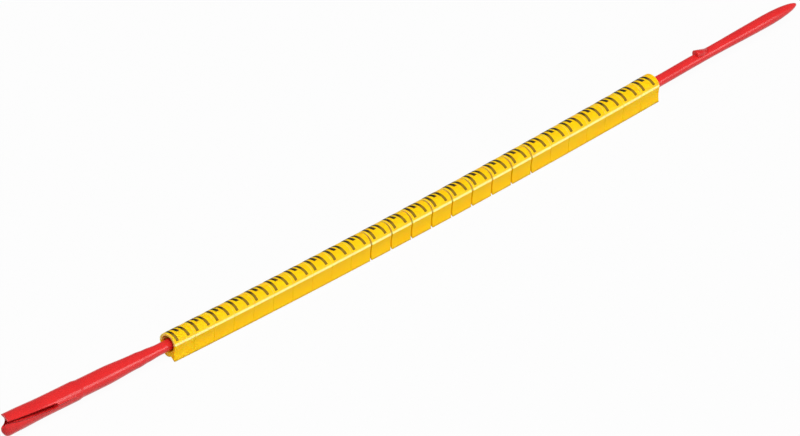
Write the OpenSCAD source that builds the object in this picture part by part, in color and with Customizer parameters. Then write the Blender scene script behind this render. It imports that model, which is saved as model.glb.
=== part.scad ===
// Slide-on wire markers in a row on a moulded applicator stick.
// The stick runs along X with its fork at -X and its point at +X, and the markers' feet stand on Z = 0.
// The whole stick is slightly bowed in the XY plane, with its middle towards -Y.

/* [Markers] */
// Number of markers on the stick
marker_count = 25; // [4:1:25]
// Length of one marker along the stick
marker_len = 3; // [2:0.1:6]
// Radial play of the bore on the rod
bore_play = 0.31; // [0.25:0.01:0.5]
// Wall of the round top over the bore
arch_wall = 0.31; // [0.2:0.01:0.6]
// Height of the shoulder edge above the bore's axis
shoulder_rise = 0.19; // [0:0.01:0.5]
// Depth of the hollow in each side between shoulder and foot
side_hollow = 0.2; // [0.05:0.01:0.25]
// How far each foot stands in from the shoulder above it
foot_inset = 0.125; // [0:0.005:0.25]
// Width of the flat under each foot
foot_flat = 0.1; // [0.05:0.01:0.2]
// Wall under the bore, at the belly
belly_wall = 0.64; // [0.52:0.01:0.8]
// Height of the belly above the feet
belly_lift = 0.23; // [0.1:0.01:0.6]
// Wall between the bore and the root of each groove beside the belly
groove_wall = 0.54; // [0.35:0.01:0.6]
// Angle of each groove's root from straight down, about the bore's axis
groove_angle = 20; // [16:1:30]
// Rounding of the round top's end edges
edge_round = 0.09; // [0.02:0.01:0.2]

/* [Row] */
// Gap between two markers that are pushed together
tight_gap = 0.02; // [0.01:0.01:0.1]
// Extra gap at each seam that has been left open
open_gap = 0.2; // [0:0.02:0.6]
// Number of the marker before the first open seam
first_open = 10; // [1:1:24]
// Number of the marker before the last open seam
last_open = 18; // [1:1:24]

/* [Stick] */
// Diameter of the rod that carries the markers
rod_d = 1.3; // [1:0.02:1.6]
// How far the rod hangs below the bores' axis
rod_drop = 0.16; // [0:0.01:0.2]
// Radius of the bow of the stick
bow_r = 1150; // [600:10:4000]
// Bare rod between the row and the stop
neck_run = 1.9; // [1:0.1:4]
// Diameter that the stop rises to
stop_d = 1.72; // [1.6:0.02:1.9]
// Length of the stop's rise from the rod
stop_len = 2.8; // [1:0.1:5]
// Length of the taper from the stop up to the tail
taper_len = 5; // [3:0.1:12]
// Diameter of the tail behind the taper
tail_d = 2.1; // [1.95:0.05:2.2]
// Length of the plain tail
tail_len = 3.4; // [2:0.1:12]
// Turn of the tail out of the bow, towards the hollow side
tail_kick = 0.6; // [0:0.1:2]

/* [Fork] */
// Diameter of the collar before the fork
collar_d = 2.3; // [2.25:0.05:2.45]
// Length of the step from the tail up to the collar
step_len = 0.9; // [0.3:0.1:2]
// Length of the collar
collar_len = 4.4; // [3:0.1:8]
// Diameter of the fork at its mouth
fork_d = 2.5; // [2.4:0.05:3]
// Length of the flare from the collar to the fork's mouth
flare_len = 4.4; // [2:0.1:8]
// Straight mouth, to the end of the upper prong
mouth_run = 1.8; // [1:0.1:4]
// Length of the wire slot from the end of the upper prong
slot_len = 7.3; // [3:0.1:8]
// Height of the wire slot at its root
slot_h = 0.76; // [0.5:0.02:1]
// Height of the wire slot between the ends of the prongs
mouth_h = 0.16; // [0.1:0.02:0.4]
// Height of the slot's top above the stick's axis
slot_rise = 0.65; // [0.4:0.01:0.7]
// Wall left at the back of the slot
slot_back = 0.4; // [0.35:0.05:0.6]
// Length at the mouth over which the back wall is cut away
mouth_len = 1.5; // [0.5:0.1:3]
// How far the lower prong reaches past the upper one
tongue_reach = 0.4; // [0.3:0.05:1.5]
// How far the lower prong's top slopes down to its tip
tongue_drop = 0.5; // [0.2:0.05:0.8]
// How far the lower prong's tip lies to the front of the stick's axis
tongue_shift = 0.3; // [0:0.05:0.6]
// Radius of the lower prong's tip
tongue_r = 0.45; // [0.3:0.05:0.7]
// Length over which the lower prong narrows to its tip
tongue_len = 2.2; // [1.2:0.1:4]

/* [Point] */
// Distance from the row to the barb's steep face
barb_run = 6.9; // [3:0.1:12]
// Height of the barb above the rod
barb_h = 0.6; // [0.4:0.05:0.7]
// Length of the barb's ramp
barb_len = 2; // [1:0.1:4]
// Width of the barb's round back
barb_w = 0.95; // [0.6:0.05:1]
// Straight rod before the barb's steep face
nose_lead = 1; // [0.5:0.1:2]
// Distance from the barb's steep face to the point's taper
point_run = 12.3; // [6:0.1:20]
// Diameter of the nose where its point starts
nose_d = 1.46; // [1.3:0.02:1.7]
// Length of the point's taper
point_len = 5.2; // [2:0.1:8]

/* [Hidden] */
round_fn = 64;
bow_fn = 1440;
taper_steps = 12;
overcut = 1;
// Where two lengths of the stick meet, one runs into the other by the lap, under a fine step
weld_lap = 0.3;
weld_step = 0.02;

rod_r = rod_d / 2;
tail_base = rod_r + weld_step;
nose_r = rod_r - weld_step;
bore_r = rod_r + bore_play;
arch_r = bore_r + arch_wall;
axis_h = bore_r + belly_wall + belly_lift;

// Marker profile, seen along the stick with the bore's axis at the origin
shoulder = [sqrt(arch_r * arch_r - shoulder_rise * shoulder_rise), shoulder_rise];
foot = [shoulder[0] - foot_inset, -axis_h];
groove_r = bore_r + groove_wall;
groove = groove_r * [sin(groove_angle), -cos(groove_angle)];
belly_z = -bore_r - belly_wall;
belly_r = (groove[0] * groove[0] + pow(groove[1] - belly_z, 2)) / (2 * (groove[1] - belly_z));
side_chord = norm(foot - shoulder);
side_dir = (foot - shoulder) / side_chord;
hollow_r = (side_chord * side_chord / 4 + side_hollow * side_hollow) / (2 * side_hollow);
hollow_at = (foot + shoulder) / 2 + (hollow_r - side_hollow) * [-side_dir[1], side_dir[0]];

// Stations along the stick, counted from the middle of the row
pitch = marker_len + tight_gap;
function open_before(i) = max(0, min(i, last_open) - first_open + 1);
row_len = marker_count * pitch - tight_gap + open_before(marker_count - 1) * open_gap;
function marker_station(i) = -row_len / 2 + i * pitch + open_before(i) * open_gap;
tail_station = -row_len / 2 - neck_run;
barb_station = row_len / 2 + barb_run;
nose_station = barb_station - nose_lead;

// Lengths behind the root of the tail
taper_start = stop_len;
tail_start = taper_start + taper_len;
step_start = tail_start + tail_len;
collar_start = step_start + step_len;
flare_start = collar_start + collar_len;
mouth_start = flare_start + flare_len;
prong_end = mouth_start + mouth_run;
slot_root = prong_end - slot_len;
tongue_end = prong_end + tongue_reach;

function bow_angle(station) = station / bow_r * 180 / PI;
function eased(from, to, t) = from + (to - from) * (1 - cos(180 * t)) / 2;
function point_radius(t) = nose_d / 2 * sqrt(1 - t * t);

// Middle of the part's box, so that the part is centred on the origin
tail_turn = bow_angle(tail_station) - tail_kick;
fork_x = bow_r * sin(bow_angle(tail_station)) - tongue_end * cos(tail_turn);
point_x = bow_r * sin(bow_angle(barb_station)) + (point_run + point_len) * cos(bow_angle(barb_station));
fork_y = bow_r * (1 - cos(bow_angle(tail_station))) - (prong_end - mouth_len) * sin(tail_turn);
middle = [(fork_x + point_x) / 2, (fork_y + fork_d / 2 - shoulder[0]) / 2, -axis_h];

marker_names = [for (i = [1 : marker_count]) str("marker_", i < 10 ? "0" : "", i)];

// Carries a shape from the middle of the stick to a station on its bow
module at_station(station) {
    translate([0, bow_r, 0])
        rotate([0, 0, bow_angle(station)])
            translate([0, -bow_r, 0])
                children();
}

// Turns a profile about the stick's axis, with its lengths running towards -X
module turned_back() {
    rotate([0, -90, 0]) rotate_extrude($fn = round_fn) children();
}

// Turns a profile about the stick's axis, with its lengths running towards +X
module turned_forward() {
    rotate([0, 90, 0]) rotate_extrude($fn = round_fn) children();
}

// Rod on the stick's bow, from the tail to the nose
module rod() {
    translate([0, bow_r, 0])
        rotate([0, 0, bow_angle(tail_station - weld_lap) - 90])
            rotate_extrude(angle = bow_angle(nose_station - tail_station + weld_lap), $fn = bow_fn)
                translate([bow_r, 0])
                    circle(rod_r, $fn = round_fn);
}

// Stop, tail and collar, and the fork before it is slotted
module tail_blank() {
    steps = [for (k = [1 : taper_steps]) k / taper_steps];
    turned_back()
        polygon(concat(
            [[0, 0], [tail_base, 0]],
            [for (t = steps) [eased(tail_base, stop_d / 2, t), stop_len * t]],
            [for (t = steps) [eased(stop_d / 2, tail_d / 2, t), taper_start + taper_len * t]],
            [[tail_d / 2, step_start], [collar_d / 2, collar_start], [collar_d / 2, flare_start],
             [fork_d / 2, mouth_start], [fork_d / 2, tongue_end], [0, tongue_end]]
        ));
}

// Carries an outline in the XZ plane from the back given towards the front
module side_cut(back) {
    translate([0, back, 0])
        rotate([90, 0, 0])
            linear_extrude(back + fork_d / 2 + overcut)
                children();
}

// Outline of the wire slot from the side: a round root, then a floor that rises to the mouth
module slot_outline() {
    root = [-slot_root - slot_h / 2, slot_rise - slot_h / 2];
    translate(root) circle(slot_h / 2, $fn = round_fn);
    polygon([
        [root[0], slot_rise], [-tongue_end - overcut, slot_rise], [-tongue_end - overcut, slot_rise - mouth_h],
        [-prong_end, slot_rise - mouth_h], [root[0], slot_rise - slot_h]
    ]);
}

// Slot for the wire, open to the front and to the end
module wire_slot() {
    side_cut(fork_d / 2 - slot_back) slot_outline();
    // The back wall stops short of the mouth
    side_cut(fork_d / 2 + overcut)
        intersection() {
            slot_outline();
            translate([-tongue_end - overcut, -fork_d / 2])
                square([tongue_reach + overcut + mouth_len, fork_d]);
        }
}

// Everything past the upper prong, above the lower prong's sloping top
module prong_trim() {
    top = slot_rise - mouth_h;
    side_cut(fork_d / 2 + overcut)
        polygon([
            [-prong_end, fork_d], [-tongue_end - overcut, fork_d], [-tongue_end - overcut, top - tongue_drop],
            [-tongue_end, top - tongue_drop], [-prong_end, top]
        ]);
}

// What is cut away around the lower prong's narrowed tip
module tongue_trim() {
    side = fork_d / 2 + overcut;
    tip = [-tongue_end + tongue_r, -tongue_shift];
    flare = -tongue_end + tongue_len;
    translate([0, 0, -side])
        linear_extrude(side + slot_rise - mouth_h / 2)
            difference() {
                translate([-tongue_end - overcut, -side]) square([tongue_len + overcut, 2 * side]);
                translate(tip) circle(tongue_r, $fn = round_fn);
                polygon([tip - [0, tongue_r], [flare, -fork_d / 2], [flare, fork_d / 2], tip + [0, tongue_r]]);
            }
}

// Barb that keeps the markers from running off the point
module barb() {
    slope = atan(barb_h / barb_len);
    back_h = rod_r + barb_h - barb_w / 2 / cos(slope);
    run = barb_len + barb_w / 2;
    intersection() {
        translate([0, 0, back_h])
            rotate([0, 90 + slope, 0])
                translate([0, 0, -overcut]) cylinder(d = barb_w, h = overcut + run / cos(slope), $fn = round_fn);
        translate([0, -barb_w, -rod_r]) cube([run + barb_w, 2 * barb_w, 2 * rod_r + barb_h + overcut]);
    }
}

// Nose under the barb, swelling towards its rounded point
module nose() {
    root = -nose_lead - weld_lap;
    turned_forward()
        polygon(concat(
            [[0, root], [nose_r, root], [nose_r, barb_len]],
            [for (k = [0 : taper_steps - 1])
                [point_radius(sin(90 * k / taper_steps)), point_run + point_len * sin(90 * k / taper_steps)]],
            [[0, point_run + point_len]]
        ));
}

// The stick, moulded as one piece
module applicator() {
    color("crimson")
        translate([0, 0, -rod_drop] - middle) {
            rod();
            at_station(tail_station)
                rotate([0, 0, -tail_kick])
                    difference() {
                        tail_blank();
                        wire_slot();
                        prong_trim();
                        tongue_trim();
                    }
            at_station(barb_station) {
                barb();
                nose();
            }
        }
}

// Lower half of the profile: hollow sides, pointed feet, and a round belly between two grooves
module skirt() {
    inner_foot = [foot[0] - foot_flat, foot[1]];
    below = [0, -overcut];
    difference() {
        polygon([[-shoulder[0], shoulder[1]], shoulder, foot, [-foot[0], foot[1]]]);
        for (side = [0, 1])
            mirror([side, 0]) translate(hollow_at) circle(hollow_r, $fn = bow_fn);
        difference() {
            polygon([
                [-groove[0], groove[1]], [-inner_foot[0], foot[1]], [-inner_foot[0], foot[1]] + below,
                inner_foot + below, inner_foot, groove
            ]);
            translate([0, belly_z + belly_r]) circle(belly_r, $fn = round_fn);
        }
    }
}

// Round top with rounded end edges, down to the shoulders
module arch() {
    intersection() {
        turned_forward()
            union() {
                square([arch_r - edge_round, marker_len]);
                translate([0, edge_round]) square([arch_r, marker_len - 2 * edge_round]);
                for (end = [edge_round, marker_len - edge_round])
                    translate([arch_r - edge_round, end]) circle(edge_round, $fn = round_fn);
            }
        translate([0, -arch_r, shoulder_rise]) cube([marker_len, 2 * arch_r, arch_r]);
    }
}

// One marker, with its first face at the station given
module marker(i) {
    color("gold")
        translate(-middle)
            at_station(marker_station(i) + marker_len / 2)
                translate([-marker_len / 2, 0, 0])
                    difference() {
                        union() {
                            rotate([90, 0, 90]) linear_extrude(marker_len) skirt();
                            arch();
                        }
                        translate([-overcut, 0, 0])
                            rotate([0, 90, 0])
                                cylinder(r = bore_r, h = marker_len + 2 * overcut, $fn = round_fn);
                    }
}

applicator();
for (i = [0 : marker_count - 1])
    marker(i);
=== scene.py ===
import math

import bmesh
import bpy
from mathutils import Matrix, Vector


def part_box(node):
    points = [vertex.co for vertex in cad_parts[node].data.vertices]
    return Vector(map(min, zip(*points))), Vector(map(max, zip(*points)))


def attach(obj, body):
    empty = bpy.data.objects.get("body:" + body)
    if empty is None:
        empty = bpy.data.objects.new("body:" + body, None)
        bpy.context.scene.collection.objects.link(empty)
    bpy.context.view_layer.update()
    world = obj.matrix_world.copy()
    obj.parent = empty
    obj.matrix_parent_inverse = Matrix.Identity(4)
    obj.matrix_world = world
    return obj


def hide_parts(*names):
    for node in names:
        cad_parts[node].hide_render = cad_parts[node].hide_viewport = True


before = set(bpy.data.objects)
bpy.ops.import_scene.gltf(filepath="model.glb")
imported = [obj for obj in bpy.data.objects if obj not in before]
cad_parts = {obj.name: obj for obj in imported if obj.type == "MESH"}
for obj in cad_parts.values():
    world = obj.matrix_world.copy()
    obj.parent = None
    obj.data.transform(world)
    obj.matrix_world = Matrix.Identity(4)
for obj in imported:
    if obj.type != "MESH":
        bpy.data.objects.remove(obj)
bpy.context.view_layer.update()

# Lengths below are in millimetres, and a finished mesh is scaled to metres
MM = 0.001

# The marker's section, looked at along the stick with the bore's axis at the origin
MARKER_LEN = 3.0
BORE_R = 0.96
ARCH_R = 1.27
AXIS_HEIGHT = 1.83
SHOULDER_RISE = 0.19
SIDE_HOLLOW = 0.1
FOOT_INSET = 0.125
FOOT_FLAT = 0.1
BELLY_WALL = 0.64
GROOVE_WALL = 0.54
GROOVE_ANGLE = math.radians(20)
RIDGE_R = 0.1
END_ROUND = 0.04
CAP_FACING = 0.9

# Steps of the marker's round stretches
ARCH_STEPS = 26
RIDGE_STEPS = 4
SIDE_STEPS = 8
BELLY_STEPS = 7
BORE_STEPS = 56
END_STEPS = 3

# The printed figure, laid flat: across runs round the arch, along runs down the stick
FIGURE_FIRST_ARM = 0.84
FIGURE_LAST_ARM = 2.22
FIGURE_STROKE = 0.38
FIGURE_LONG_END = math.radians(59)
FIGURE_SHORT_END = math.radians(14)
FIGURE_BACK = math.radians(-48)
FIGURE_SLANT = 0.2
FIGURE_SPREAD = 0.32
FIGURE_ARC_STEPS = 10
FIGURE_CUTS = 24
INK_HEIGHT = 0.008
INK_DEPTH = 0.016

# The marker's UV map: U runs from end to end, V is the turn from the top in half turns
SECTION_MAP = "section"

# Where a painted highlight, a pale colour, lies along the marker's thin shoulder and round the ends of its
# arch
PAINTED_HIGHLIGHT_COLOUR = (1.0, 0.84, 0.28)
PAINTED_HIGHLIGHT_START = math.radians(66)
PAINTED_HIGHLIGHT_FULL = math.radians(74)
PAINTED_HIGHLIGHT_FULL_END = math.radians(80)
PAINTED_HIGHLIGHT_END = math.radians(84)
PAINTED_HIGHLIGHT_RIM = 0.05
PAINTED_HIGHLIGHT_RIM_SHARE = 0.4

# Where the print is worn thin, down its arms
WORN_START = math.radians(0)
WORN_FULL = math.radians(30)
WORN_COLOUR = (0.25, 0.145, 0.008)

# The stick's rod, which lies a little low in the bores, and the thickening behind the row
ROD_R = 0.65
ROD_DROP = 0.16
NECK_RUN = 1.9
STOP_R = 0.86
STOP_LEN = 2.8
NECK_R = 0.76
NECK_BACK = 1.4
NECK_AHEAD = 0.5
TAPER_LEN = 5.0
TAIL_R = 1.05
TAIL_LEN = 3.4
TAIL_KICK = math.radians(0.6)

# The stick's fork, with a slot that is open to the front and to the end
STEP_LEN = 0.9
COLLAR_R = 1.15
COLLAR_LEN = 4.4
FORK_R = 1.25
FLARE_LEN = 4.4
MOUTH_RUN = 1.8
SLOT_LEN = 7.3
SLOT_TOP = 0.4
SLOT_H = 0.52
MOUTH_TOP = 0.92
MOUTH_H = 0.1
SLOT_BACK = 0.4
SLOT_TILT = 0.25
ROOT_GAP = 0.1
MOUTH_LEN = 1.5
PRONG_TRIM = 0.41
PRONG_SLANT = 0.3
TONGUE_REACH = 0.4
TONGUE_R = 0.45
TONGUE_LEN = 2.2
TONGUE_DROP = 0.5
TONGUE_SHIFT = 0.5
TONGUE_TILT = 0.7
TONGUE_RISE = 0.95
TONGUE_CHIN = 1.1
TONGUE_TIP_W = 0.14
RIM_ROUND = 0.055
RIM_ANGLE = math.radians(50)

# The stick's barb and point
BARB_RUN = 7.4
BARB_H = 0.6
BARB_LEN = 2.0
BARB_W = 0.95
BARB_ROUND = 0.07
BARB_SINK = 1.4
NOSE_KICK = math.radians(1.2)
NOSE_LEAD = 1.0
NOSE_THIN_R = 0.63
NOSE_R = 0.73
POINT_RUN = 11.8
POINT_LEN = 5.2

# Steps of the stick
RING_STEPS = 56
BLEND_STEPS = 8
ROD_STEPS = 24
POINT_STEPS = 12
ROOT_STEPS = 5
TONGUE_STEPS = 10
BARB_STEPS = 32
ROUND_STEPS = 3

# The photograph's view
IMAGE_SIZE = (800, 436)
PIXELS_PER_MM = 9.053
VIEW_AZIMUTH = math.radians(-46.2)
VIEW_ELEVATION = math.radians(31.0)
VIEW_DISTANCE = 2.1
SENSOR_WIDTH = 36.0
NEAR_CLIP = 0.1
FAR_CLIP = 100
ROW_MIDDLE_PIXEL = (412.5, 212.7)

# The share of the floor that is plain white to the camera and in reflections; the rest takes the shadow
FLOOR_WHITE = 0.96
FLOOR_GREY = (0.5, 0.5, 0.5, 1)
FLOOR_SIZE = 20
WHITE = (1, 1, 1, 1)
WORLD_STRENGTH = 0.25

# Each lamp's name, direction from the part, distance and side in metres, and power in watts
LAMPS = (
    ("key", (-0.2, -0.5, 1.05), 1.2, 0.8, 12.8),
    ("left", (-0.7, -0.75, 0.5), 1.4, 0.9, 1.6),
    ("right", (0.57, -0.79, 0.2), 1.2, 0.45, 4.4),
    ("back", (-0.45, 0.85, 0.3), 1.3, 0.6, 4),
)

# How near vertices merge and planes cut
MERGE_NEAR = 1e-4
CUT_NEAR = 1e-5

X_AXIS = Vector((1, 0, 0))
UPRIGHT = Matrix.Rotation(math.pi / 2, 4, "Y")
ORIGIN = Vector((0, 0, 0))


# Places along the bow, worked out from the frame's markers

marker_names = sorted(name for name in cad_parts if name.startswith("marker_"))


def marker_centre(name):
    """Where a marker's bore axis is halfway along the marker, in millimetres."""
    low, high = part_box(name)
    middle = (low + high) / 2
    return Vector((middle.x, middle.y, AXIS_HEIGHT * MM)) / MM


def bow_of_row():
    """Centre and radius of the circle in the XY plane that the markers' middles lie on."""
    first = marker_centre(marker_names[0])
    last = marker_centre(marker_names[-1])
    halfway = marker_centre(marker_names[len(marker_names) // 2])
    middle = (first + last) / 2
    along = (last - first).normalized()
    across = Vector((-along.y, along.x, 0))
    half_chord = (last - first).length / 2
    offset = (halfway - middle).dot(along)
    sag = -(halfway - middle).dot(across)
    radius = (half_chord ** 2 - offset ** 2 + sag ** 2) / (2 * sag)
    return middle + across * (radius - sag), radius


bow_centre, bow_radius = bow_of_row()


def station_of(name):
    """How far along the bow a marker's middle is, counted from where the bow runs along X."""
    return bow_radius * math.asin((marker_centre(name).x - bow_centre.x) / bow_radius)


def bow_place(station):
    """Matrix to a place on the bow, with X along the bow and the bores' axis at the origin."""
    turn = station / bow_radius
    out = Vector((math.sin(turn), -math.cos(turn), 0))
    return Matrix.Translation(bow_centre + out * bow_radius) @ Matrix.Rotation(turn, 4, "Z")


def marker_place(name):
    """Matrix from the marker's own frame to its place on the bow."""
    return bow_place(station_of(name))


# Mesh helpers

def picked(geom, kind):
    """The items of one kind from what an operator made."""
    return [item for item in geom if isinstance(item, kind)]


def cut_across(bm, point, normal, clear_inner=False):
    """Cuts a whole mesh along a plane and returns the vertices and edges of the cut."""
    everything = bm.verts[:] + bm.edges[:] + bm.faces[:]
    made = bmesh.ops.bisect_plane(bm, geom=everything, dist=CUT_NEAR, plane_co=point, plane_no=normal,
                                  clear_inner=clear_inner)
    return made["geom_cut"]


def by_height(faces):
    """Faces from the lowest to the highest."""
    return sorted(faces, key=lambda face: face.calc_center_median().z)


def arc(bm, start, centre, angle, steps):
    """Carries an outline round a centre, about the X axis, and returns its last vertex."""
    made = bmesh.ops.spin(bm, geom=[start], cent=centre, axis=X_AXIS, angle=angle, steps=steps)
    return picked(made["geom_last"], bmesh.types.BMVert)[0]


def line(bm, start, to):
    """Carries an outline straight to a point and returns the vertex there."""
    end = bmesh.ops.extrude_vert_indiv(bm, verts=[start])["verts"][0]
    end.co = to
    return end


def angle_of(point, centre=ORIGIN):
    """Angle of a point about a centre in the YZ plane, from +Y towards +Z."""
    return math.atan2(point.z - centre.z, point.y - centre.y)


def map_section(bm):
    """Gives a mesh in the marker's own frame the UV map that its paint follows."""
    section = bm.loops.layers.uv.new(SECTION_MAP)
    for face in bm.faces:
        for corner in face.loops:
            at = corner.vert.co
            corner[section].uv = (at.x / MARKER_LEN + 0.5, math.atan2(at.y, at.z) / math.pi)


def finish_piece(name, bm, material, body):
    """Makes a mesh that was built in millimetres a piece that rides on a body."""
    bm.transform(Matrix.Scale(MM, 4))
    mesh = bpy.data.meshes.new(name)
    bm.to_mesh(mesh)
    bm.free()
    mesh.shade_smooth()
    mesh.materials.append(material)
    piece = bpy.data.objects.new(name, mesh)
    bpy.context.scene.collection.objects.link(piece)
    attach(piece, body)
    return piece


# Marker

def marker_half_outline(bm):
    """Draws one side of the section, from the top of the arch to the bottom of the belly."""
    shoulder = Vector((0, math.sqrt(ARCH_R ** 2 - SHOULDER_RISE ** 2), SHOULDER_RISE))
    foot = Vector((0, shoulder.y - FOOT_INSET, -AXIS_HEIGHT))
    inner_foot = foot - Vector((0, FOOT_FLAT, 0))
    groove_r = BORE_R + GROOVE_WALL
    groove = Vector((0, groove_r * math.sin(GROOVE_ANGLE), -groove_r * math.cos(GROOVE_ANGLE)))

    chord = foot - shoulder
    hollow_r = (chord.length ** 2 / 4 + SIDE_HOLLOW ** 2) / (2 * SIDE_HOLLOW)
    outward = Vector((0, -chord.z, chord.y)).normalized()
    hollow_at = (foot + shoulder) / 2 + outward * (hollow_r - SIDE_HOLLOW)

    # The ridge's centre is a set distance from the arch's centre and from the hollow's
    to_arch = ARCH_R - RIDGE_R
    to_hollow = hollow_r + RIDGE_R
    apart = hollow_at.length
    spread = math.acos((to_arch ** 2 + apart ** 2 - to_hollow ** 2) / (2 * to_arch * apart))
    ridge_angle = angle_of(hollow_at) + spread
    ridge_at = Vector((0, math.cos(ridge_angle), math.sin(ridge_angle))) * to_arch
    side_start = hollow_at + (ridge_at - hollow_at).normalized() * hollow_r

    belly_z = -BORE_R - BELLY_WALL
    belly_r = (groove.y ** 2 + (groove.z - belly_z) ** 2) / (2 * (groove.z - belly_z))
    belly_at = Vector((0, 0, belly_z + belly_r))

    apex = bm.verts.new((0, 0, ARCH_R))
    arch_end = arc(bm, apex, ORIGIN, ridge_angle - math.pi / 2, ARCH_STEPS)
    ridge_turn = angle_of(side_start, ridge_at) - ridge_angle
    ridge_end = arc(bm, arch_end, ridge_at, ridge_turn, RIDGE_STEPS)
    side_turn = (angle_of(foot, hollow_at) - angle_of(side_start, hollow_at)) % math.tau
    side_end = arc(bm, ridge_end, hollow_at, side_turn, SIDE_STEPS)
    groove_end = line(bm, line(bm, side_end, inner_foot), groove)
    arc(bm, groove_end, belly_at, -math.pi / 2 - angle_of(groove, belly_at), BELLY_STEPS)


def marker_mesh():
    """One marker in its own frame, with the bore's axis along X through the origin."""
    bm = bmesh.new()
    marker_half_outline(bm)
    bmesh.ops.mirror(bm, geom=bm.verts[:] + bm.edges[:], axis="Y", merge_dist=MERGE_NEAR)
    bmesh.ops.create_circle(bm, segments=BORE_STEPS, radius=BORE_R, matrix=UPRIGHT)
    section = bmesh.ops.triangle_fill(bm, use_beauty=True, edges=bm.edges[:])
    faces = picked(section["geom"], bmesh.types.BMFace)
    straight = MARKER_LEN - 2 * END_ROUND
    bmesh.ops.translate(bm, vec=X_AXIS * (-straight / 2), verts=bm.verts[:])
    top = bmesh.ops.extrude_face_region(bm, geom=faces, use_keep_orig=True)
    moved = picked(top["geom"], bmesh.types.BMVert)
    bmesh.ops.translate(bm, vec=X_AXIS * straight, verts=moved)
    bmesh.ops.recalc_face_normals(bm, faces=bm.faces[:])
    for end in (-1, 1):
        cap = [face for face in bm.faces if face.normal.x * end > CAP_FACING]
        turned = 0.0
        for step in range(1, END_STEPS + 1):
            now = math.pi / 2 * step / END_STEPS
            rise = END_ROUND * (math.sin(now) - math.sin(turned))
            inset = END_ROUND * (math.cos(turned) - math.cos(now))
            bmesh.ops.inset_region(bm, faces=cap, thickness=inset, depth=rise, use_even_offset=True,
                                   use_boundary=True)
            turned = now
    map_section(bm)
    return bm


def build_markers(material):
    """A dressed marker in place of each of the frame's."""
    shape = marker_mesh()
    for name in marker_names:
        bm = shape.copy()
        bm.transform(marker_place(name))
        piece = finish_piece(name.replace("marker", "ring"), bm, material, "marker_row")
        piece.modifiers.new("Even normals", "WEIGHTED_NORMAL")
        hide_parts(name)
    shape.free()


# Printed figure

def figure_outline(bm):
    """Draws the figure 3 flat in the YZ plane, with Y across it and Z up it."""
    half = FIGURE_STROKE / 2
    bowl_r = (FIGURE_LAST_ARM - FIGURE_FIRST_ARM) / 4
    outer_r = bowl_r + half
    inner_r = bowl_r - half
    left = -ARCH_R * FIGURE_LONG_END
    short = -ARCH_R * FIGURE_SHORT_END
    right = -ARCH_R * FIGURE_BACK
    bowl_y = right - outer_r
    upper = Vector((0, bowl_y, bowl_r))
    waist = math.asin(bowl_r / outer_r)

    start = bm.verts.new((0, left, upper.z + outer_r))
    at = line(bm, start, Vector((0, bowl_y, upper.z + outer_r)))
    at = arc(bm, at, upper, -math.pi / 2 - waist, FIGURE_ARC_STEPS)
    at = arc(bm, at, Vector((0, bowl_y, -bowl_r)), -math.pi / 2 - waist, FIGURE_ARC_STEPS)
    at = line(bm, at, Vector((0, left, -bowl_r - outer_r)))
    at = line(bm, at, Vector((0, left, -bowl_r - inner_r)))
    at = line(bm, at, Vector((0, bowl_y, -bowl_r - inner_r)))
    at = arc(bm, at, Vector((0, bowl_y, -bowl_r)), math.pi, FIGURE_ARC_STEPS)
    at = line(bm, at, Vector((0, short, -half)))
    at = line(bm, at, Vector((0, short, half)))
    at = line(bm, at, Vector((0, bowl_y, half)))
    at = arc(bm, at, upper, math.pi, FIGURE_ARC_STEPS)
    at = line(bm, at, Vector((0, left, upper.z + inner_r)))
    bm.edges.new((at, start))


def figure_mesh():
    """The printed figure as a thin layer of ink on the arch, in the marker's own frame."""
    bm = bmesh.new()
    figure_outline(bm)
    bmesh.ops.remove_doubles(bm, verts=bm.verts[:], dist=MERGE_NEAR)
    bmesh.ops.triangle_fill(bm, use_beauty=True, edges=bm.edges[:])
    low = min(vert.co.y for vert in bm.verts)
    high = max(vert.co.y for vert in bm.verts)
    for cut in range(1, FIGURE_CUTS):
        at = low + (high - low) * cut / FIGURE_CUTS
        cut_across(bm, (0, at, 0), (0, 1, 0))
    middle = (FIGURE_FIRST_ARM + FIGURE_LAST_ARM) / 2 - MARKER_LEN / 2
    radius = ARCH_R + INK_HEIGHT
    arm_inside = (FIGURE_LAST_ARM - FIGURE_FIRST_ARM - FIGURE_STROKE) / 2
    for vert in bm.verts:
        round_by = vert.co.y / ARCH_R
        forward = (high - vert.co.y) / (high - low)
        spread = FIGURE_SPREAD * forward * min(1, max(0, vert.co.z / arm_inside))
        along = middle - vert.co.z - FIGURE_SLANT * (vert.co.y - low) - spread
        vert.co = Vector((along, radius * math.sin(round_by), radius * math.cos(round_by)))
    bmesh.ops.recalc_face_normals(bm, faces=bm.faces[:])
    if sum(face.normal.z for face in bm.faces) < 0:
        bmesh.ops.reverse_faces(bm, faces=bm.faces[:])
    bmesh.ops.solidify(bm, geom=bm.faces[:], thickness=INK_DEPTH)
    map_section(bm)
    return bm


def build_figures(material):
    """The same figure on every marker."""
    shape = figure_mesh()
    for name in marker_names:
        bm = shape.copy()
        bm.transform(marker_place(name))
        finish_piece(name.replace("marker", "figure"), bm, material, "marker_row")
    shape.free()


# Stick

row_start = station_of(marker_names[0]) - MARKER_LEN / 2
row_end = station_of(marker_names[-1]) + MARKER_LEN / 2
tail_station = row_start - NECK_RUN

# Places along the stick, counted from the tail's root: back to the fork
taper_end = -STOP_LEN
tail_end = taper_end - TAPER_LEN
step_end = tail_end - TAIL_LEN
collar_end = step_end - STEP_LEN
flare_end = collar_end - COLLAR_LEN
mouth_end = flare_end - FLARE_LEN
prong_end = mouth_end - MOUTH_RUN
tongue_end = prong_end - TONGUE_REACH
slot_root = prong_end + SLOT_LEN
wall_end = prong_end + MOUTH_LEN

# And forward to the point
barb_at = row_end + BARB_RUN - tail_station
nose_at = barb_at - NOSE_LEAD
thin_at = barb_at + BARB_LEN
swell_at = barb_at + POINT_RUN

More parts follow.
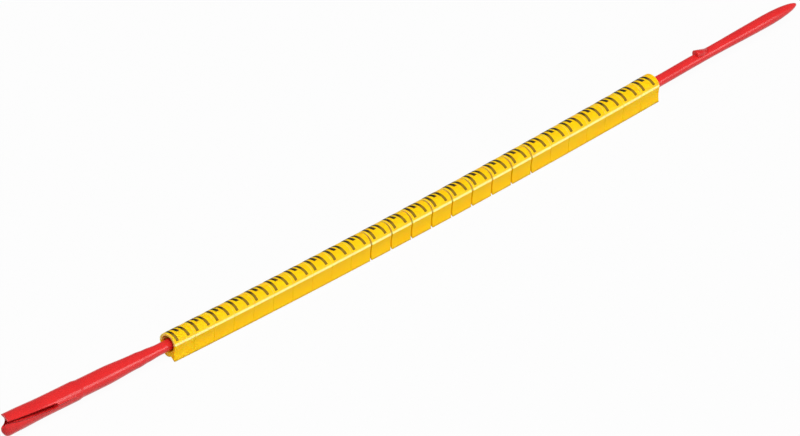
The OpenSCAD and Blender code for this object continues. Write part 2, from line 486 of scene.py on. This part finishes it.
STICK_PROFILE = (
    (mouth_end, FORK_R), (flare_end, COLLAR_R), (collar_end, COLLAR_R), (step_end, TAIL_R),
    (tail_end, TAIL_R), (taper_end, STOP_R), (-NECK_BACK, NECK_R), (NECK_AHEAD, ROD_R),
    (nose_at, ROD_R), (thin_at, NOSE_THIN_R), (swell_at, NOSE_R),
)


def stick_radius(at):
    """Half the stick's thickness at a place along it, eased between the profile's places."""
    if at > swell_at:
        return NOSE_R * math.sqrt(max(0, 1 - ((at - swell_at) / POINT_LEN) ** 2))
    for (start, start_r), (end, end_r) in zip(STICK_PROFILE, STICK_PROFILE[1:]):
        if start <= at <= end:
            ease = (1 - math.cos(math.pi * (at - start) / (end - start))) / 2
            return start_r + (end_r - start_r) * ease
    return FORK_R


def stick_place(at):
    """Matrix to a place along the stick: a straight tail that kicks out, a bowed rod and a straight nose
    that kicks forward."""
    drop = Matrix.Translation((0, 0, -ROD_DROP))
    if at < 0:
        kick = Matrix.Rotation(-TAIL_KICK, 4, "Z")
        return bow_place(tail_station) @ kick @ Matrix.Translation((at, 0, 0)) @ drop
    bowed = min(at, nose_at)
    kick = Matrix.Rotation(-NOSE_KICK if at > nose_at else 0, 4, "Z")
    return bow_place(tail_station + bowed) @ kick @ Matrix.Translation((at - bowed, 0, 0)) @ drop


def run(start, end, steps):
    """Evenly spaced places from just past the start up to the end."""
    return [start + (end - start) * step / steps for step in range(1, steps + 1)]


def slot_span(at):
    """Heights of the slot's floor and top: a half round at the root, then a rise to the mouth."""
    half = SLOT_H / 2
    depth = slot_root - at
    if depth < half:
        open_by = max(ROOT_GAP / 2, math.sqrt(max(0, half ** 2 - (half - depth) ** 2)))
        return SLOT_TOP - half - open_by, SLOT_TOP - half + open_by
    closed = min(1, (depth - half) / (SLOT_LEN - half))
    top = SLOT_TOP + (MOUTH_TOP - SLOT_TOP) * closed
    height = SLOT_H + (MOUTH_H - SLOT_H) * closed
    drop = TONGUE_DROP * max(0, prong_end - at) / TONGUE_REACH
    return top - height - drop, top


def tongue_sides(at):
    """Where the tongue's two sides are at a place along it: a round tip, then a straight flare."""
    reach = at - tongue_end
    if reach < TONGUE_R:
        half = math.sqrt(TONGUE_R ** 2 - (TONGUE_R - reach) ** 2)
        half = max(half, TONGUE_TIP_W / 2)
        return -TONGUE_SHIFT - half, -TONGUE_SHIFT + half
    flare = min(1, (reach - TONGUE_R) / (TONGUE_LEN - TONGUE_R))
    front = -TONGUE_SHIFT - TONGUE_R
    back = -TONGUE_SHIFT + TONGUE_R
    return front + (-FORK_R - front) * flare, back + (FORK_R - back) * flare


def shape_tongue(verts, at):
    """Narrows the tongue's section between its sides, tilts its top and lifts its underside at the tip."""
    front, back = tongue_sides(at)
    top = max(vert.co.z for vert in verts)
    tilt = TONGUE_TILT * min(1, (wall_end - at) / MOUTH_LEN)
    rise = TONGUE_RISE * max(0, 1 - (at - tongue_end) / TONGUE_CHIN) ** 2
    for vert in verts:
        vert.co.y = (front + back) / 2 + vert.co.y * (back - front) / (2 * FORK_R)
        height = (vert.co.z + FORK_R) / (top + FORK_R)
        vert.co.z += rise * (1 - height) - tilt * height * (vert.co.y - front)


def stick_section(bm):
    """Draws the fork's section as a disc cut into two prongs, a back wall and the slot."""
    bmesh.ops.create_circle(bm, cap_ends=True, segments=RING_STEPS, radius=FORK_R, matrix=UPRIGHT)
    for height in (SLOT_TOP, SLOT_TOP - SLOT_H):
        cut_across(bm, (0, 0, height), (0, 0, 1))
    middle = by_height(bm.faces)[1]
    bmesh.ops.bisect_plane(bm, geom=[middle, *middle.edges, *middle.verts], dist=CUT_NEAR,
                           plane_co=(0, FORK_R - SLOT_BACK, 0), plane_no=(0, 1, 0))
    ring = bm.verts.layers.float_vector.new("ring")
    for vert in bm.verts:
        inner = math.hypot(vert.co.y, vert.co.z) < FORK_R - SLOT_BACK / 4
        lift = math.asin(max(-1, min(1, vert.co.z / FORK_R)))
        vert[ring] = (lift, math.copysign(1, vert.co.y), inner)
    lower, *between, upper = by_height(bm.faces)
    slot, wall = sorted(between, key=lambda face: face.calc_center_median().y)
    return upper, wall, lower, slot


def set_ring(bm, verts, at):
    """Puts the section's vertices where they belong at a place along the stick."""
    ring = bm.verts.layers.float_vector["ring"]
    radius = stick_radius(at)
    cut_radius = stick_radius(min(at, slot_root))
    floor, top = (height / cut_radius for height in slot_span(at))
    drawn_low, drawn_high = math.asin((SLOT_TOP - SLOT_H) / FORK_R), math.asin(SLOT_TOP / FORK_R)
    wall = FORK_R - SLOT_BACK if at <= slot_root else radius * (1 - SLOT_BACK / FORK_R)
    low, high = math.asin(floor), math.asin(top)
    quarter = math.pi / 2
    for vert in verts:
        lift, side, inner = vert[ring]
        if inner:
            tilt = SLOT_TILT * 2 * wall * min(1, max(0, slot_root - at) / SLOT_H)
            vert.co = (at, wall, radius * top if lift > 0 else radius * floor - tilt)
            continue
        if lift >= drawn_high:
            lift = quarter - (quarter - lift) * (quarter - high) / (quarter - drawn_high)
        elif lift <= drawn_low:
            lift = (lift + quarter) * (low + quarter) / (drawn_low + quarter) - quarter
        else:
            lift = low + (lift - drawn_low) * (high - low) / (drawn_high - drawn_low)
        vert.co = (at, side * radius * math.cos(lift), radius * math.sin(lift))


def grow(bm, faces, at):
    """Carries end faces on to a place along the stick and returns them there."""
    borders = {edge for face in faces for edge in face.edges}
    made = bmesh.ops.extrude_face_region(bm, geom=[*faces, *borders])["geom"]
    set_ring(bm, picked(made, bmesh.types.BMVert), at)
    return picked(made, bmesh.types.BMFace)


def fork_rims(bm):
    """The fork's outer edges, which the mould leaves slightly round."""
    ring = bm.verts.layers.float_vector["ring"]
    found = []
    for edge in bm.edges:
        places = [vert.co.x for vert in edge.verts]
        in_fork = tongue_end + RIM_ROUND < min(places) and max(places) < slot_root + RIM_ROUND
        if not in_fork or edge.calc_face_angle_signed(0) < RIM_ANGLE:
            continue
        at_prong_end = max(places) < prong_end + RIM_ROUND
        if at_prong_end or not any(vert[ring].z for vert in edge.verts):
            found.append(edge)
    return found


def stick_mesh():
    """The stick as one closed skin, grown both ways from the root of its slot and then bowed."""
    bm = bmesh.new()
    upper, wall, lower, slot = stick_section(bm)
    set_ring(bm, bm.verts, slot_root)
    ahead = [
        collar_end, *run(collar_end, step_end, BLEND_STEPS), tail_end,
        *run(tail_end, taper_end, BLEND_STEPS), *run(taper_end, -NECK_BACK, BLEND_STEPS),
        *run(-NECK_BACK, NECK_AHEAD, BLEND_STEPS), *run(NECK_AHEAD, nose_at, ROD_STEPS),
        *run(nose_at, thin_at, BLEND_STEPS), *run(thin_at, swell_at, BLEND_STEPS),
    ]
    ahead += [swell_at + POINT_LEN * math.sin(turn) for turn in run(0, math.pi / 2, POINT_STEPS)]
    made = bmesh.ops.extrude_face_region(bm, geom=[upper, wall, lower, slot], use_keep_orig=True)["geom"]
    set_ring(bm, picked(made, bmesh.types.BMVert), ahead[0])
    front = picked(made, bmesh.types.BMFace)
    for at in ahead[1:]:
        front = grow(bm, front, at)

    half_slot = SLOT_H / 2
    behind = [slot_root - half_slot * (1 - math.cos(turn)) for turn in run(0, math.pi / 2, ROOT_STEPS)]
    behind += [flare_end, *run(flare_end, mouth_end, BLEND_STEPS), wall_end]
    back = [upper, wall, lower]
    for at in sorted(behind, reverse=True):
        back = grow(bm, back, at)
    lower, wall, upper = by_height(back)
    for vert in grow(bm, [upper], prong_end)[0].verts:
        vert.co.x += PRONG_TRIM + PRONG_SLANT * vert.co.y
    tongue = [lower]
    for turn in run(0, math.pi / 2, TONGUE_STEPS):
        at = wall_end + (tongue_end - wall_end) * math.sin(turn)
        tongue = grow(bm, tongue, at)
        shape_tongue(tongue[0].verts, at)

    bmesh.ops.remove_doubles(bm, verts=bm.verts[:], dist=CUT_NEAR)
    bmesh.ops.recalc_face_normals(bm, faces=bm.faces[:])
    bmesh.ops.bevel(bm, geom=fork_rims(bm), offset=RIM_ROUND, segments=ROUND_STEPS, profile=0.5,
                    affect="EDGES", material=-1)
    for vert in bm.verts:
        vert.co = stick_place(vert.co.x) @ Vector((0, vert.co.y, vert.co.z))
    return bm


def build_stick(material):
    """The stick's smooth skin in place of the frame's solid."""
    piece = finish_piece("stick", stick_mesh(), material, "applicator")
    piece.modifiers.new("Even normals", "WEIGHTED_NORMAL")
    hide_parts("applicator")


def build_barb(material):
    """The barb: a round rib that slopes down into the nose, with a steep face towards the row."""
    bm = bmesh.new()
    slope = math.atan2(BARB_H, BARB_LEN)
    axis_height = ROD_R + BARB_H - BARB_W / 2 / math.cos(slope)
    lean = Matrix.Rotation(math.pi / 2 + slope, 4, "Y")
    bmesh.ops.create_cone(bm, cap_ends=True, segments=BARB_STEPS, radius1=BARB_W / 2, radius2=BARB_W / 2,
                          depth=2 * BARB_SINK * BARB_LEN, matrix=lean)
    bmesh.ops.translate(bm, vec=(0, 0, axis_height), verts=bm.verts[:])
    rim = picked(cut_across(bm, ORIGIN, X_AXIS, clear_inner=True), bmesh.types.BMEdge)
    bmesh.ops.edgeloop_fill(bm, edges=rim)
    bmesh.ops.recalc_face_normals(bm, faces=bm.faces[:])
    bmesh.ops.bevel(bm, geom=rim, offset=BARB_ROUND, segments=ROUND_STEPS, profile=0.5,
                    affect="EDGES", material=-1)
    bm.transform(stick_place(barb_at))
    piece = finish_piece("barb", bm, material, "applicator")
    piece.modifiers.new("Even normals", "WEIGHTED_NORMAL")


# Materials

# Where the cloud noise starts and ends its change of tone and of gloss
CLOUD_EDGES = (0.35, 0.7)
GLOSS_EDGES = (0.3, 0.7)
GRAIN_STRENGTH = 0.3

# The mix node's two colours and its mixed colour, which share their names with its other kinds
MIX_COLOURS = slice(6, 8)
MIX_RESULT = 2


def add_node(tree, kind, **inputs):
    """Adds a shader node and sets its named inputs, with _ for a space."""
    made = tree.nodes.new(kind)
    for name, value in inputs.items():
        made.inputs[name.replace("_", " ")].default_value = value
    return made


def math_node(tree, operation, first, second):
    """Joins two values or sockets by an operation and returns the result's socket."""
    made = tree.nodes.new("ShaderNodeMath")
    made.operation = operation
    for socket, value in zip(made.inputs, (first, second)):
        if isinstance(value, bpy.types.NodeSocket):
            tree.links.new(value, socket)
        else:
            socket.default_value = value
    return made.outputs[0]


def band(tree, value, start, end):
    """A soft step from 0 at the start to 1 at the end."""
    made = add_node(tree, "ShaderNodeMapRange", From_Min=start, From_Max=end)
    made.interpolation_type = "SMOOTHSTEP"
    tree.links.new(value, made.inputs["Value"])
    return made.outputs["Result"]


def mix_colour(tree, factor, first, second):
    """Mixes two colours, each a socket or a plain colour."""
    made = tree.nodes.new("ShaderNodeMix")
    made.data_type = "RGBA"
    tree.links.new(factor, made.inputs["Factor"])
    for socket, colour in zip(made.inputs[MIX_COLOURS], (first, second)):
        if isinstance(colour, bpy.types.NodeSocket):
            tree.links.new(colour, socket)
        else:
            socket.default_value = (*colour, 1)
    return made.outputs[MIX_RESULT]


def moulded_finish():
    """Cloudy tone, uneven gloss and fine grain of a moulded surface, shared by the plastics and the ink."""
    group = bpy.data.node_groups.new("Moulded finish", "ShaderNodeTree")
    sockets = (
        ("Colour", "INPUT", "NodeSocketColor"), ("Cloud Colour", "INPUT", "NodeSocketColor"),
        ("Cloud Scale", "INPUT", "NodeSocketFloat"), ("Grain Scale", "INPUT", "NodeSocketFloat"),
        ("Roughest", "INPUT", "NodeSocketFloat"), ("Smoothest", "INPUT", "NodeSocketFloat"),
        ("Colour", "OUTPUT", "NodeSocketColor"), ("Roughness", "OUTPUT", "NodeSocketFloat"),
        ("Height", "OUTPUT", "NodeSocketFloat"),
    )
    for name, side, kind in sockets:
        group.interface.new_socket(name, in_out=side, socket_type=kind)
    given = group.nodes.new("NodeGroupInput")
    result = group.nodes.new("NodeGroupOutput")
    place = group.nodes.new("ShaderNodeTexCoord")

    cloud = add_node(group, "ShaderNodeTexNoise", Detail=3, Roughness=0.5)
    group.links.new(place.outputs["Object"], cloud.inputs["Vector"])
    group.links.new(given.outputs["Cloud Scale"], cloud.inputs["Scale"])
    clouded = band(group, cloud.outputs["Fac"], *CLOUD_EDGES)
    toned = mix_colour(group, clouded, given.outputs["Colour"], given.outputs["Cloud Colour"])
    group.links.new(toned, result.inputs["Colour"])

    grain = add_node(group, "ShaderNodeTexNoise", Detail=2, Roughness=0.6)
    group.links.new(place.outputs["Object"], grain.inputs["Vector"])
    group.links.new(given.outputs["Grain Scale"], grain.inputs["Scale"])
    group.links.new(grain.outputs["Fac"], result.inputs["Height"])

    gloss = add_node(group, "ShaderNodeMapRange", From_Min=GLOSS_EDGES[0], From_Max=GLOSS_EDGES[1])
    group.links.new(cloud.outputs["Fac"], gloss.inputs["Value"])
    group.links.new(given.outputs["Smoothest"], gloss.inputs["To Min"])
    group.links.new(given.outputs["Roughest"], gloss.inputs["To Max"])
    group.links.new(gloss.outputs["Result"], result.inputs["Roughness"])
    return group


def finished(name, group, colour, cloud_colour, cloud_scale, grain_scale, smoothest, roughest, grain_depth):
    """A material with the moulded finish, its tree, its shader and the finish's colour."""
    material = bpy.data.materials.new(name)
    material.use_nodes = True
    tree = material.node_tree
    shader = tree.nodes["Principled BSDF"]
    finish = tree.nodes.new("ShaderNodeGroup")
    finish.node_tree = group
    values = (("Colour", (*colour, 1)), ("Cloud Colour", (*cloud_colour, 1)), ("Cloud Scale", cloud_scale),
              ("Grain Scale", grain_scale), ("Smoothest", smoothest), ("Roughest", roughest))
    for socket, value in values:
        finish.inputs[socket].default_value = value
    bump = add_node(tree, "ShaderNodeBump", Strength=GRAIN_STRENGTH, Distance=grain_depth)
    tree.links.new(finish.outputs["Height"], bump.inputs["Height"])
    tree.links.new(bump.outputs["Normal"], shader.inputs["Normal"])
    tree.links.new(finish.outputs["Roughness"], shader.inputs["Roughness"])
    tree.links.new(finish.outputs["Colour"], shader.inputs["Base Color"])
    return material, tree, shader, finish.outputs["Colour"]


def section_place(tree):
    """Place along the marker and turn from its top, read from its UV map."""
    section = tree.nodes.new("ShaderNodeUVMap")
    section.uv_map = SECTION_MAP
    split = tree.nodes.new("ShaderNodeSeparateXYZ")
    tree.links.new(section.outputs["UV"], split.inputs[0])
    return split.outputs["X"], split.outputs["Y"]


def marker_plastic(group):
    """Soft yellow plastic, with a painted highlight in pale yellow along the thin shoulder and round the
    ends of the arch.
    """
    material, tree, shader, colour = finished(
        "Marker plastic", group, colour=(1.0, 0.535, 0.003), cloud_colour=(0.98, 0.555, 0.004),
        cloud_scale=500, grain_scale=9000, smoothest=0.36, roughest=0.46, grain_depth=1e-5)
    shader.inputs["Specular IOR Level"].default_value = 0.1
    shader.inputs["Subsurface Weight"].default_value = 0.4
    shader.inputs["Subsurface Radius"].default_value = (1.0, 0.4, 0.05)
    shader.inputs["Subsurface Scale"].default_value = 0.0006
    along, turn = section_place(tree)
    # Painted highlight: a pale colour is mixed in along the thin shoulder and round the ends of the arch,
    # where light catches them
    turn = math_node(tree, "ABSOLUTE", turn, 0)
    above = band(tree, turn, PAINTED_HIGHLIGHT_START / math.pi, PAINTED_HIGHLIGHT_FULL / math.pi)
    below = band(tree, turn, PAINTED_HIGHLIGHT_END / math.pi, PAINTED_HIGHLIGHT_FULL_END / math.pi)
    shoulder = math_node(tree, "MULTIPLY", above, below)
    half = 0.5
    centred = math_node(tree, "ABSOLUTE", math_node(tree, "SUBTRACT", along, half), 0)
    at_end = band(tree, centred, half - PAINTED_HIGHLIGHT_RIM / MARKER_LEN, half)
    rim = math_node(tree, "MULTIPLY", math_node(tree, "MULTIPLY", at_end, below), PAINTED_HIGHLIGHT_RIM_SHARE)
    pale = math_node(tree, "MAXIMUM", shoulder, rim)
    tinted = mix_colour(tree, pale, colour, PAINTED_HIGHLIGHT_COLOUR)
    tree.links.new(tinted, shader.inputs["Base Color"])
    return material


def stick_plastic(group):
    """Glossy red plastic with faint flow marks."""
    material, _, shader, _ = finished(
        "Stick plastic", group, colour=(0.68, 0.022, 0.022), cloud_colour=(0.63, 0.018, 0.019),
        cloud_scale=350, grain_scale=7000, smoothest=0.2, roughest=0.3, grain_depth=6e-6)
    shader.inputs["Specular IOR Level"].default_value = 0.25
    shader.inputs["Subsurface Weight"].default_value = 0.05
    shader.inputs["Subsurface Radius"].default_value = (1.0, 0.15, 0.1)
    shader.inputs["Subsurface Scale"].default_value = 0.0003
    return material


def print_ink(group):
    """Brownish black ink, worn to a thin brown down the arms of the figure."""
    material, tree, shader, colour = finished(
        "Print ink", group, colour=(0.028, 0.019, 0.006), cloud_colour=(0.05, 0.034, 0.01),
        cloud_scale=1500, grain_scale=9000, smoothest=0.45, roughest=0.6, grain_depth=1e-5)
    shader.inputs["Specular IOR Level"].default_value = 0.15
    _, turn = section_place(tree)
    worn = band(tree, turn, -WORN_START / math.pi, -WORN_FULL / math.pi)
    tinted = mix_colour(tree, worn, colour, WORN_COLOUR)
    tree.links.new(tinted, shader.inputs["Base Color"])
    return material


moulding = moulded_finish()
yellow = marker_plastic(moulding)
red = stick_plastic(moulding)
ink = print_ink(moulding)

build_markers(yellow)
build_figures(ink)
build_stick(red)
build_barb(red)


# Floor, light and camera

def build_floor():
    """A wide pale floor that shows white to the camera and keeps a little of the part's shadow."""
    mesh = bpy.data.meshes.new("floor")
    bm = bmesh.new()
    bmesh.ops.create_grid(bm, x_segments=1, y_segments=1, size=FLOOR_SIZE)
    bm.to_mesh(mesh)
    bm.free()
    floor = bpy.data.objects.new("floor", mesh)
    bpy.context.scene.collection.objects.link(floor)
    material = bpy.data.materials.new("Pale floor")
    material.use_nodes = True
    tree = material.node_tree
    tree.nodes.clear()
    path = add_node(tree, "ShaderNodeLightPath")
    seen = math_node(tree, "MAXIMUM", path.outputs["Is Camera Ray"], path.outputs["Is Glossy Ray"])
    seen = math_node(tree, "MAXIMUM", seen, path.outputs["Is Transmission Ray"])
    share = math_node(tree, "MULTIPLY", seen, FLOOR_WHITE)
    matt = add_node(tree, "ShaderNodeBsdfDiffuse", Color=FLOOR_GREY)
    glow = add_node(tree, "ShaderNodeEmission", Color=WHITE, Strength=1.0)
    mix = add_node(tree, "ShaderNodeMixShader")
    tree.links.new(share, mix.inputs[0])
    tree.links.new(matt.outputs[0], mix.inputs[1])
    tree.links.new(glow.outputs[0], mix.inputs[2])
    out = add_node(tree, "ShaderNodeOutputMaterial")
    tree.links.new(mix.outputs[0], out.inputs[0])
    mesh.materials.append(material)


def view_axes():
    """Directions to the camera, to its right and upwards in its picture."""
    back = Vector((
        math.sin(VIEW_AZIMUTH) * math.cos(VIEW_ELEVATION),
        -math.cos(VIEW_AZIMUTH) * math.cos(VIEW_ELEVATION),
        math.sin(VIEW_ELEVATION),
    ))
    right = Vector((math.cos(VIEW_AZIMUTH), math.sin(VIEW_AZIMUTH), 0))
    return back, right, back.cross(right)


def build_camera():
    """The photograph's view, with the row's middle on its own pixel."""
    back, right, up = view_axes()
    row_middle = (marker_centre(marker_names[0]) + marker_centre(marker_names[-1])) / 2
    off_right = (ROW_MIDDLE_PIXEL[0] - IMAGE_SIZE[0] / 2) / PIXELS_PER_MM
    off_up = (IMAGE_SIZE[1] / 2 - ROW_MIDDLE_PIXEL[1]) / PIXELS_PER_MM
    aim = (row_middle - right * off_right - up * off_up) * MM
    data = bpy.data.cameras.new("camera")
    data.sensor_width = SENSOR_WIDTH
    data.lens = SENSOR_WIDTH * VIEW_DISTANCE / (IMAGE_SIZE[0] / PIXELS_PER_MM * MM)
    data.clip_start = NEAR_CLIP
    data.clip_end = FAR_CLIP
    camera = bpy.data.objects.new("camera", data)
    camera.location = aim + back * VIEW_DISTANCE
    camera.rotation_euler = (-back).to_track_quat("-Z", "Y").to_euler()
    bpy.context.scene.collection.objects.link(camera)
    bpy.context.scene.camera = camera


def softbox(name, direction, distance, size, power):
    """A square area light that faces the middle of the part."""
    data = bpy.data.lights.new(name, "AREA")
    data.size = size
    data.energy = power
    lamp = bpy.data.objects.new(name, data)
    lamp.location = direction.normalized() * distance
    lamp.rotation_euler = (-direction).to_track_quat("-Z", "Y").to_euler()
    bpy.context.scene.collection.objects.link(lamp)


def build_world():
    """Even dim light from all round."""
    world = bpy.data.worlds.new("studio")
    world.use_nodes = True
    background = world.node_tree.nodes["Background"]
    background.inputs["Color"].default_value = WHITE
    background.inputs["Strength"].default_value = WORLD_STRENGTH
    bpy.context.scene.world = world


build_floor()
build_camera()
build_world()
for name, direction, distance, size, power in LAMPS:
    softbox(name, Vector(direction), distance, size, power)
bpy.context.scene.view_settings.view_transform = "Standard"
